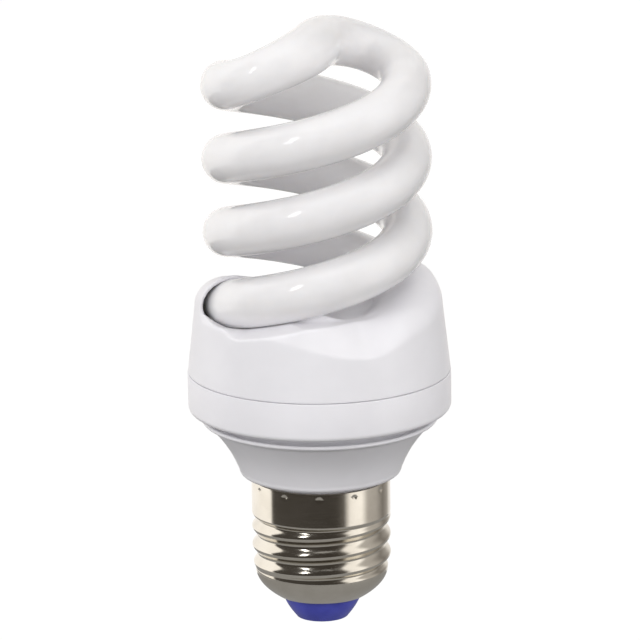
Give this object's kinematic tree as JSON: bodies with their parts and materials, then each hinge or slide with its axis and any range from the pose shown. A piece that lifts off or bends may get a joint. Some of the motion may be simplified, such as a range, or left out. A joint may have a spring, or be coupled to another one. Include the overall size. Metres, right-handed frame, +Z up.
{
  "type": "compact fluorescent lamp",
  "caption": "Compact fluorescent lamp: white spiral glass tube on a two-part plastic ballast housing with a nickel screw cap and a blue insulated tip.",
  "frame": {"origin": "centre of the centre contact's flat end, on the lamp's axis", "axes": "+Z up the lamp's axis from the contact to the spiral's crown; -Y is the side that the picture shows"},
  "size_m": [0.0496, 0.0496, 0.1163],
  "materials": {
    "tube_glass": "opaque white phosphor-coated glass, glossy",
    "housing_plastic": "satin moulded plastic, cool white",
    "cap_nickel": "bright nickel plate",
    "tip_insulator": "blue moulded insulator",
    "contact_metal": "nickel plate",
    "silicone": "matt white",
    "tinned_metal": "tinned wire and post",
    "laminate": "brown paper laminate",
    "capacitor_sleeve": "shrunk sleeve",
    "ferrite": "ground ferrite",
    "nylon": "moulded",
    "enamelled_copper": "enamelled copper wire",
    "resonant_resin": "dipped resin",
    "coupling_resin": "dipped resin",
    "epoxy": "moulded epoxy",
    "resistor_coat": "lacquered body, no bands",
    "trigger_diode_glass": "glossy",
    "fuse_sleeve": "woven glass sleeve",
    "live_sleeve": "lead insulation",
    "neutral_sleeve": "lead insulation"
  },
  "bodies": {
    "root": {"base_housing": "housing_plastic", "bulk_capacitor": "capacitor_sleeve", "cap_insulator": "tip_insulator", "cap_shell": "cap_nickel", "centre_contact": "contact_metal", "choke_bobbin": "nylon", "choke_core_lower": "ferrite", "choke_core_upper": "ferrite", "choke_winding": "enamelled_copper", "circuit_board": "laminate", "coupling_capacitor": "coupling_resin", "filament_lead_1": "tinned_metal", "filament_lead_2": "tinned_metal", "filament_lead_3": "tinned_metal", "filament_lead_4": "tinned_metal", "filter_choke_core": "ferrite", "filter_choke_winding": "enamelled_copper", "fusible_resistor": "fuse_sleeve", "live_lead": "live_sleeve", "neutral_lead": "neutral_sleeve", "rectifier_diode_1": "epoxy", "rectifier_diode_2": "epoxy", "rectifier_diode_3": "epoxy", "rectifier_diode_4": "epoxy", "resistor_1": "resistor_coat", "resistor_2": "resistor_coat", "resistor_3": "resistor_coat", "resistor_4": "resistor_coat", "resonant_capacitor": "resonant_resin", "spiral_tube": "tube_glass", "top_cover": "housing_plastic", "toroid_core": "ferrite", "toroid_winding_1": "enamelled_copper", "toroid_winding_2": "enamelled_copper", "transistor_1": "epoxy", "transistor_2": "epoxy", "trigger_diode": "trigger_diode_glass", "tube_silicone_1": "silicone", "tube_silicone_2": "silicone", "wrap_pin_1": "tinned_metal", "wrap_pin_2": "tinned_metal", "wrap_pin_3": "tinned_metal", "wrap_pin_4": "tinned_metal"}
  },
  "joints": []
}
